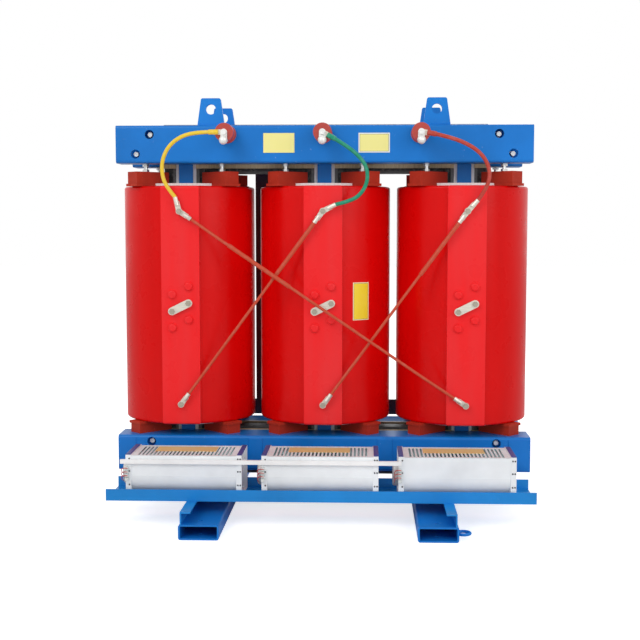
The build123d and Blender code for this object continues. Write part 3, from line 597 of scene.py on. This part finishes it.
class TRANSFORMER_OT_finishes(bpy.types.Operator):
    """Gives every carried-over part its finish"""

    bl_idname = "transformer.finishes"
    bl_label = "Apply Finishes"

    def execute(self, context):
        build_shader_groups()
        build_materials(context.scene.transformer_colours)
        finish = dict(NODE_FINISH)
        for name in PHASES:
            finish["hv_coil_" + name] = "coil " + name
            finish["delta_link_" + name] = "sleeve " + name
            for start, key in PHASE_FINISH.items():
                finish[start + name] = key
        for number in FANS:
            for start, key in FAN_FINISH.items():
                finish[start + number] = key
        for node, key in finish.items():
            give_material(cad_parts[node], key)
        return {"FINISHED"}


# ---------------------------------------------------------------- modelling helpers


def deselect():
    bpy.ops.object.select_all(action="DESELECT")


def start_box(low, high):
    """Cube primitive between two corners, with its size applied."""
    deselect()
    middle = (Vector(low) + Vector(high)) / 2
    bpy.ops.mesh.primitive_cube_add(size=1, location=middle, calc_uvs=True)
    piece = bpy.context.object
    piece.scale = Vector(high) - Vector(low)
    bpy.ops.object.transform_apply(location=False, rotation=False, scale=True)
    return piece


def start_rod(middle, radius, length, axis, sides=20):
    """Cylinder primitive about a middle along X, Y or Z."""
    deselect()
    turns = {"X": (0, math.pi / 2, 0), "Y": (math.pi / 2, 0, 0), "Z": (0, 0, 0)}
    bpy.ops.mesh.primitive_cylinder_add(
        vertices=sides, radius=radius, depth=length, location=middle, rotation=turns[axis]
    )
    return bpy.context.object


def bevel(piece, width, segments=2):
    modifier = piece.modifiers.new("Bevel", "BEVEL")
    modifier.width = width
    modifier.segments = segments
    modifier.limit_method = "ANGLE"
    return piece


def join(pieces):
    deselect()
    for piece in pieces:
        piece.select_set(True)
    bpy.context.view_layer.objects.active = pieces[0]
    bpy.ops.object.join()
    return pieces[0]


def pick(piece):
    """Makes a piece the only selected one, and the active one."""
    deselect()
    piece.select_set(True)
    bpy.context.view_layer.objects.active = piece


def apply_modifiers(piece):
    pick(piece)
    for modifier in list(piece.modifiers):
        bpy.ops.object.modifier_apply(modifier=modifier.name)
    return piece


def settle(piece, name, key):
    """Applies modifiers and place, names the piece, gives its material and sets what it rides on."""
    apply_modifiers(piece)
    bpy.ops.object.transform_apply(location=True, rotation=True, scale=True)
    piece.name = name
    piece.data.name = name
    give_material(piece, key)
    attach(piece, ROOT)
    return piece


def tube(name, radius, rounding, routes):
    """Curve with a round section along each of the given routes."""
    data = bpy.data.curves.new(name, "CURVE")
    data.dimensions = "3D"
    for places in routes:
        spline = data.splines.new("NURBS")
        spline.points.add(len(places) - 1)
        for point, place in zip(spline.points, places):
            point.co = (*place, 1.0)
        spline.order_u = 3
        spline.use_endpoint_u = True
    data.bevel_depth = radius
    data.bevel_resolution = rounding
    data.use_fill_caps = True
    piece = bpy.data.objects.new(name, data)
    bpy.context.scene.collection.objects.link(piece)
    return piece


# ---------------------------------------------------------------- phase leads

POST_ANGLES = {"a": 180, "b": -29, "c": -10}
COIL_ANGLES = {"a": 104, "b": 27, "c": 48}
LUG_BARREL_RADIUS = 0.007
# Routes of the phase leads between their lugs, in millimetres
LEAD_ROUTES = {
    "a": [
        (-384, -268, 1160), (-428, -264, 1148), (-463, -259, 1122), (-484, -254, 1084),
        (-488, -249, 1041), (-477, -242, 1001),
    ],
    "b": [
        (76, -267, 1117), (110, -262, 1089), (133, -257, 1058), (137, -251, 1019),
        (122, -245, 983), (90, -239, 956),
    ],
    "c": [
        (384, -267, 1143), (428, -262, 1127), (467, -258, 1104), (494, -254, 1071),
        (504, -250, 1031), (493, -243, 992),
    ],
}
POST_HEIGHT = 1.161
POST_FACE = 0.263
LEAD_LUG_SEAT = 0.225


def lug_exit(x, z, seat, angle):
    turn = math.radians(angle)
    aside, above = LUG_REACH * math.cos(turn), LUG_REACH * math.sin(turn)
    return Vector((x + aside, -seat - LUG_BARREL_RADIUS, z + above))


def lead_points(name):
    post_x = node_middle("post_insulator_" + name).x
    coil_x = node_middle("hv_coil_" + name).x
    first = lug_exit(post_x, POST_HEIGHT, POST_FACE, POST_ANGLES[name])
    last = lug_exit(coil_x, TOP_TERMINAL_HEIGHT, LEAD_LUG_SEAT, COIL_ANGLES[name])
    return [first] + [Vector(place) * MM for place in LEAD_ROUTES[name]] + [last]


class TRANSFORMER_OT_phase_leads(bpy.types.Operator):
    """Adds the three coloured leads from the posts to the coils"""

    bl_idname = "transformer.phase_leads"
    bl_label = "Add Phase Leads"

    def execute(self, context):
        diameter = context.scene.transformer_sizes.lead_diameter
        for name in PHASES:
            points = lead_points(name)
            lead = tube("lead_" + name, diameter / 2, 6, [points])
            lead.data.splines[0].resolution_u = 16
            lead.data.materials.append(materials["lead " + name])
            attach(lead, ROOT)
            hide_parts("phase_lead_" + name)
        return {"FINISHED"}


# Start and end of a boot along its lug, from the post's axis
BOOT_START = 0.017
BOOT_END = 0.046
BOOT_RADIUS = 0.0078
BOOT_ROUND = 0.0022


class TRANSFORMER_OT_lead_boots(bpy.types.Operator):
    """Adds a shrunk boot in each lead's colour over its lug on the post"""

    bl_idname = "transformer.lead_boots"
    bl_label = "Add Lead Boots"

    def execute(self, context):
        for name in PHASES:
            angle = math.radians(POST_ANGLES[name])
            way = Vector((math.cos(angle), 0, math.sin(angle)))
            post_x = node_middle("post_insulator_" + name).x
            axis = Vector((post_x, -POST_FACE - LUG_BARREL_RADIUS, POST_HEIGHT))
            deselect()
            bpy.ops.mesh.primitive_cylinder_add(
                vertices=32, radius=BOOT_RADIUS, depth=BOOT_END - BOOT_START,
                location=axis + way * (BOOT_START + BOOT_END) / 2,
                rotation=way.to_track_quat("Z", "Y").to_euler(),
            )
            boot = bevel(bpy.context.object, BOOT_ROUND, 4)
            settle(boot, "lead_boot_" + name, "lead " + name)
            bpy.ops.object.shade_smooth_by_angle(angle=math.radians(40))
        return {"FINISHED"}


# ---------------------------------------------------------------- plates and sticker

PLATE_PLACES = (("left", -0.137), ("right", 0.156))
PLATE_LIFT = 0.003
PLATE_THICKNESS = 0.0012
STICKER_X = 0.117
STICKER_HEIGHT = 0.647
FILM_GAP = 0.0004
FILM_THICKNESS = 0.0006


def flat_plate(name, middle, width, height, key, slot):
    """Thin plate facing the front, with rounded corners and a UV map over its face."""
    low = (middle.x - width / 2, middle.y - PLATE_THICKNESS, middle.z - height / 2)
    high = (middle.x + width / 2, middle.y, middle.z + height / 2)
    piece = start_box(low, high)
    apply_modifiers(bevel(piece, PLATE_THICKNESS * 0.4))
    layer = piece.data.uv_layers.active or piece.data.uv_layers.new(name="UVMap")
    for loop in piece.data.loops:
        corner = piece.data.vertices[loop.vertex_index].co + piece.location
        layer.data[loop.index].uv = ((corner.x - low[0]) / width, (corner.z - low[2]) / height)
    return settle(piece, name, key)


class TRANSFORMER_OT_plates(bpy.types.Operator):
    """Adds the two bare plates on the upper clamp and the bare sticker on the middle coil"""

    bl_idname = "transformer.plates"
    bl_label = "Add Plates"

    def execute(self, context):
        sizes = context.scene.transformer_sizes
        colours = context.scene.transformer_colours
        plate_size = (sizes.plate_width, sizes.plate_height)
        materials["plate left"] = printed_field("Bare yellow plate", tuple(colours.plate), plate_size)
        materials["plate right"] = printed_field(
            "Bordered yellow plate", tuple(colours.plate), plate_size,
            [(-1.0, 0.0036, (0.90, 0.93, 0.86)), (0.0036, 0.0046, (0.05, 0.05, 0.03))],
        )
        sticker_size = (sizes.sticker_width, sizes.sticker_height)
        materials["sticker"] = printed_field(
            "Bare yellow sticker", tuple(colours.sticker), sticker_size,
            [(-1.0, 0.0025, (0.93, 0.88, 0.55)), (0.0025, 0.0036, (0.25, 0.17, 0.01))],
        )
        clamp_low, clamp_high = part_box("upper_clamp_front")
        level = (clamp_low.z + clamp_high.z) / 2 + PLATE_LIFT
        for side, x in PLATE_PLACES:
            middle = Vector((x, clamp_low.y, level))
            flat_plate("plate_" + side, middle, *plate_size, "plate " + side, "fan_grille")
        coil_low, coil_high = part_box("hv_coil_b")
        radius = (coil_high.x - coil_low.x) / 2
        lean = math.asin(STICKER_X / radius)
        sticker = curved_sticker(radius, lean, sizes.sticker_width, sizes.sticker_height)
        settle(sticker, "coil_sticker", "sticker")
        return {"FINISHED"}


def curved_sticker(radius, lean, width, height):
    """Film wrapped on the coil: a grid bent round the coil's axis, then given its thickness."""
    deselect()
    bpy.ops.mesh.primitive_grid_add(x_subdivisions=12, y_subdivisions=1, size=1, calc_uvs=True)
    piece = bpy.context.object
    lift = radius + FILM_GAP
    for vertex in piece.data.vertices:
        angle = lean + vertex.co.x * width / radius
        height_at = STICKER_HEIGHT + vertex.co.y * height
        vertex.co = Vector((lift * math.sin(angle), -lift * math.cos(angle), height_at))
    modifier = piece.modifiers.new("Film", "SOLIDIFY")
    modifier.thickness = FILM_THICKNESS
    modifier.offset = 1.0
    return piece


# ---------------------------------------------------------------- frame fittings

STUD_RADIUS = 0.008
STUD_INSET = 0.014
NUT_FACE = 0.1004
STUD_PLACES = {
    "upper": ((0.538, 1.1615), (0.582, 1.1015)),
    "lower": ((0.538, 0.2065), (0.582, 0.144)),
}
# Left and right edges of the flat pads on the lower clamps
PAD_EDGES = ((-0.641, -0.587), (-0.232, -0.190), (0.169, 0.216), (0.575, 0.641))
PAD_SINK = 0.0005
PAD_PROUD = 0.0025
PAD_MARGIN = 0.009
EDGE_ROUND = 0.0012
LUG_MIDDLE = 0.348
LUG_WIDTH = 0.060
LUG_THICKNESS = 0.014
WELD_RADIUS = 0.0028


class TRANSFORMER_OT_frame_fittings(bpy.types.Operator):
    """Adds stud ends in the clamps' holes, pads on the lower clamps and weld beads"""

    bl_idname = "transformer.frame_fittings"
    bl_label = "Add Frame Fittings"

    def execute(self, context):
        stud_ends()
        clamp_pads()
        weld_beads()
        return {"FINISHED"}


def stud_ends():
    """Threaded ends of the tie rods, just behind the holes of the clamps."""
    studs = []
    for side, turn in (("front", -1), ("rear", 1)):
        for clamp, places in STUD_PLACES.items():
            low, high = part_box(clamp + "_clamp_" + side)
            face = (low.y if turn < 0 else high.y) - turn * STUD_INSET
            start = turn * NUT_FACE
            for reach, z in places:
                for x in (-reach, reach):
                    middle = (x, (start + face) / 2, z)
                    stud = start_rod(middle, STUD_RADIUS, abs(face - start), "Y", 24)
                    studs.append(apply_modifiers(bevel(stud, EDGE_ROUND)))
    settle(join(studs), "stud_ends", "stud")


def clamp_pads():
    """Flat stiffening pads on the outer faces of the lower clamps."""
    pads = []
    for side, turn in (("front", -1), ("rear", 1)):
        low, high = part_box("lower_clamp_" + side)
        face = low.y if turn < 0 else high.y
        for left, right in PAD_EDGES:
            near, far = sorted((face - turn * PAD_SINK, face + turn * PAD_PROUD))
            pad = start_box((left, near, low.z + PAD_MARGIN), (right, far, high.z - PAD_MARGIN))
            pads.append(apply_modifiers(bevel(pad, EDGE_ROUND)))
    settle(join(pads), "clamp_pads", "frame paint")


def weld_beads():
    """Beads where the lifting lugs stand on the upper clamps."""
    beads = []
    low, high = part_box("lifting_lugs")
    clamp_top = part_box("upper_clamp_front")[1].z
    for x in (-LUG_MIDDLE, LUG_MIDDLE):
        for y in (low.y, low.y + LUG_THICKNESS, high.y - LUG_THICKNESS, high.y):
            bead = start_rod((x, y, clamp_top), WELD_RADIUS, LUG_WIDTH, "X", 12)
            beads.append(apply_modifiers(bevel(bead, 0.001)))
    settle(join(beads), "weld_beads", "frame paint")


# ---------------------------------------------------------------- fan fittings

# Label's reach along and across the outlet plate, as shares of its length and depth
LABEL_ALONG = (0.19, 0.78)
LABEL_ACROSS = (0.42, 0.86)
LABEL_THICKNESS = 0.0008
# Caps stand on the end plates' flanges, between these distances from the casing's ends
CAP_REACH = (0.002, 0.0165)
CAP_MARGIN = 0.004
CAP_LEVELS = (0.002, 0.0045)
SEAM_LEVEL = 0.152
SEAM_HALF = 0.0007
SCREW_RADIUS = 0.0024
SCREW_LENGTH = 0.0018
SCREW_DROPS = (0.008, 0.045, 0.085)
FLANGE_FACE = 0.002
STRIP_OFFSET = 0.012
STRIP_STEP = 0.011
STRIP_DROP = 0.040
STRIP_SIZE = (0.010, 0.010, 0.009)
WIRE_RADIUS = 0.0011
WIRE_DROP = 0.036
# Points of one wire from its terminal, in millimetres across, back and up
WIRE_ROUTE = ((4, -9, 0), (-10, -15, 4), (-18, -6, -8), (-14, 20, -20))


class TRANSFORMER_OT_fan_fittings(bpy.types.Operator):
    """Adds labels, corner caps, screws, terminal strips and wires on the fans"""

    bl_idname = "transformer.fan_fittings"
    bl_label = "Add Fan Fittings"

    def execute(self, context):
        materials["label"] = printed_field(
            "Bare tan label", (0.86, 0.66, 0.27), (0.18, 0.07), [(-1.0, 0.004, (0.78, 0.36, 0.12))]
        )
        materials["cap"] = moulded("Blue corner cap", (0.035, 0.085, 0.30), 0.2, 0.4, 0.1)
        materials["screw"] = metal("Dark screw", (0.12, 0.12, 0.13), 1.0)
        materials["strip"] = moulded("Terminal strip", (0.70, 0.74, 0.72), 0.2, 0.4, 0.2)
        materials["wire"] = cable_jacket("Red wire", (0.50, 0.03, 0.03))
        for number in FANS:
            fan_label(number)
            fan_caps(number)
            fan_screws(number)
            fan_terminals(number)
            fan_seam(number)
        return {"FINISHED"}


def casing_box(number):
    """Corners of a casing, up to the top and back of its outlet plate."""
    low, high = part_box("fan_casing_" + number)
    plate_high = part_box("fan_grilles")[1]
    return low, Vector((high.x, plate_high.y, plate_high.z))


def fan_label(number):
    """Tan strip across the middle of the outlet plate."""
    low, high = casing_box(number)
    length = high.x - low.x
    depth = high.y - low.y
    (left, right), (front, back) = LABEL_ALONG, LABEL_ACROSS
    piece = start_box(
        (low.x + length * left, low.y + depth * front, high.z),
        (low.x + length * right, low.y + depth * back, high.z + LABEL_THICKNESS),
    )
    settle(bevel(piece, 0.0003, 1), "fan_label_" + number, "label")


def fan_caps(number):
    """Blue caps on the flanges at both ends of the outlet plate."""
    low, high = casing_box(number)
    caps = []
    near, far = CAP_REACH
    bottom, top = (high.z + level for level in CAP_LEVELS)
    for left, right in ((low.x - far, low.x - near), (high.x + near, high.x + far)):
        cap = start_box((left, low.y + CAP_MARGIN, bottom), (right, high.y - CAP_MARGIN, top))
        caps.append(apply_modifiers(bevel(cap, EDGE_ROUND)))
    settle(join(caps), "fan_caps_" + number, "cap")


def fan_seam(number):
    """Folded seam along the casing, where its flat front turns under."""
    low, high = casing_box(number)
    seam = start_box(
        (low.x + 0.002, low.y - 0.0006, SEAM_LEVEL - SEAM_HALF),
        (high.x - 0.002, low.y + 0.0005, SEAM_LEVEL + SEAM_HALF),
    )
    settle(bevel(seam, 0.0003), "fan_seam_" + number, "fan white")


def fan_screws(number):
    """Small screws on the front flanges of the end plates."""
    low, high = casing_box(number)
    y = low.y - FLANGE_FACE - 0.0008
    screws = []
    for x in (low.x - 0.005, high.x + 0.005, high.x + 0.012):
        for drop in SCREW_DROPS:
            screw = start_rod((x, y, high.z - drop), SCREW_RADIUS, SCREW_LENGTH, "Y", 16)
            screws.append(apply_modifiers(bevel(screw, 0.0005)))
    settle(join(screws), "fan_screws_" + number, "screw")


def fan_terminals(number):
    """Terminal strip beside the motor with a few small wires."""
    low, high = casing_box(number)
    x = low.x - STRIP_OFFSET
    face = low.y - FLANGE_FACE
    width, depth, height = STRIP_SIZE
    blocks = []
    for level in range(4):
        z = high.z - STRIP_DROP - level * STRIP_STEP
        block = start_box((x - width / 2, face - depth, z), (x + width / 2, face, z + height))
        blocks.append(apply_modifiers(bevel(block, 0.001)))
    settle(join(blocks), "fan_strip_" + number, "strip")
    routes = []
    for level in range(3):
        start = Vector((x, face, high.z - WIRE_DROP - level * STRIP_STEP))
        routes.append([start + Vector(point) * MM for point in WIRE_ROUTE])
    pick(tube("fan_wires_" + number, WIRE_RADIUS, 3, routes))
    bpy.ops.object.convert(target="MESH")
    settle(bpy.context.object, "fan_wires_" + number, "wire")


# ---------------------------------------------------------------- stage

FLOOR_SIZE = 40
FLOOR_GLOW = 0.66
WORLD_LIGHT = 0.55
SENSOR_WIDTH = 36
LAMP_AIM = (0, 0, 0.6)
# Name, place, size in metres and power in watts of each lamp
LAMPS = (
    ("key_lamp", (-2.2, -3.6, 3.4), 2.6, 70),
    ("fill_lamp", (2.8, -3.4, 2.0), 2.6, 40),
    ("back_lamp", (0.6, 3.2, 3.2), 2.4, 40),
)


class TRANSFORMER_OT_stage(bpy.types.Operator):
    """Adds the floor, the lamps, the world and the camera"""

    bl_idname = "transformer.stage"
    bl_label = "Add Stage"

    def execute(self, context):
        settings = context.scene.stage_settings
        add_floor()
        add_world(context.scene)
        add_lamps()
        camera = bpy.data.cameras.new("Camera")
        camera.lens = settings.lens
        camera.sensor_width = SENSOR_WIDTH
        holder = bpy.data.objects.new("Camera", camera)
        holder.location = settings.camera_place
        holder.rotation_euler = (math.pi / 2 - settings.camera_dip, 0, settings.camera_turn)
        context.scene.collection.objects.link(holder)
        context.scene.camera = holder
        context.scene.view_settings.view_transform = "Standard"
        return {"FINISHED"}


def add_floor():
    """Pale floor that keeps the shadow, and glows towards the camera so that it ends in white."""
    deselect()
    bpy.ops.mesh.primitive_plane_add(size=FLOOR_SIZE, location=(0, 0, 0))
    floor = bpy.context.object
    floor.name = "floor"
    material, tree, shader = new_material(
        "Pale floor", Base_Color=(0.86, 0.86, 0.86, 1.0), Roughness=0.9, Specular_IOR_Level=0.0,
        Emission_Color=(1.0, 1.0, 1.0, 1.0),
    )
    path = add_node(tree, "ShaderNodeLightPath")
    glow = map_range(tree, path.outputs["Is Camera Ray"], 0.0, 1.0, 0.0, FLOOR_GLOW)
    tree.links.new(glow, shader.inputs["Emission Strength"])
    floor.data.materials.append(material)


def add_world(scene):
    """Soft even light, and plain white where the camera or a mirror looks past the object."""
    world = bpy.data.worlds.new("Studio")
    scene.world = world
    world.use_nodes = True
    tree = world.node_tree
    background = tree.nodes["Background"]
    path = add_node(tree, "ShaderNodeLightPath")
    seen = math_node(tree, "MAXIMUM", path.outputs["Is Camera Ray"], path.outputs["Is Glossy Ray"])
    seen = math_node(tree, "MAXIMUM", seen, path.outputs["Is Transmission Ray"])
    strength = map_range(tree, seen, 0.0, 1.0, WORLD_LIGHT, 1.0)
    background.inputs["Color"].default_value = (1, 1, 1, 1)
    tree.links.new(strength, background.inputs["Strength"])


def add_lamps():
    for name, place, size, power in LAMPS:
        lamp = bpy.data.lights.new(name, "AREA")
        lamp.size = size
        lamp.energy = power
        holder = bpy.data.objects.new(name, lamp)
        holder.location = place
        aim = Vector(LAMP_AIM) - Vector(place)
        holder.rotation_euler = aim.to_track_quat("-Z", "Y").to_euler()
        bpy.context.scene.collection.objects.link(holder)


# ---------------------------------------------------------------- panel and run


class TRANSFORMER_PT_panel(bpy.types.Panel):
    """Buttons for each group of pieces"""

    bl_idname = "TRANSFORMER_PT_panel"
    bl_label = "Transformer"
    bl_space_type = "VIEW_3D"
    bl_region_type = "UI"
    bl_category = "Transformer"

    def draw(self, context):
        for operator in OPERATORS:
            self.layout.operator(operator.bl_idname)
        for settings in ("transformer_colours", "transformer_sizes", "stage_settings"):
            group = getattr(context.scene, settings)
            box = self.layout.box()
            for name in group.bl_rna.properties.keys():
                if name not in ("rna_type", "name"):
                    box.prop(group, name)


OPERATORS = (
    TRANSFORMER_OT_stage, TRANSFORMER_OT_finishes, TRANSFORMER_OT_phase_leads,
    TRANSFORMER_OT_lead_boots, TRANSFORMER_OT_plates,
    TRANSFORMER_OT_frame_fittings, TRANSFORMER_OT_fan_fittings,
)
CLASSES = (TransformerColours, TransformerSizes, StageSettings, *OPERATORS, TRANSFORMER_PT_panel)


def register():
    for item in CLASSES:
        bpy.utils.register_class(item)
    bpy.types.Scene.transformer_colours = bpy.props.PointerProperty(type=TransformerColours)
    bpy.types.Scene.transformer_sizes = bpy.props.PointerProperty(type=TransformerSizes)
    bpy.types.Scene.stage_settings = bpy.props.PointerProperty(type=StageSettings)


def unregister():
    for name in ("transformer_colours", "transformer_sizes", "stage_settings"):
        delattr(bpy.types.Scene, name)
    for item in reversed(CLASSES):
        bpy.utils.unregister_class(item)


def main():
    register()
    bpy.ops.transformer.stage()
    bpy.ops.transformer.finishes()
    bpy.ops.transformer.phase_leads()
    bpy.ops.transformer.lead_boots()
    bpy.ops.transformer.plates()
    bpy.ops.transformer.frame_fittings()
    bpy.ops.transformer.fan_fittings()


if __name__ == "__main__":
    main()
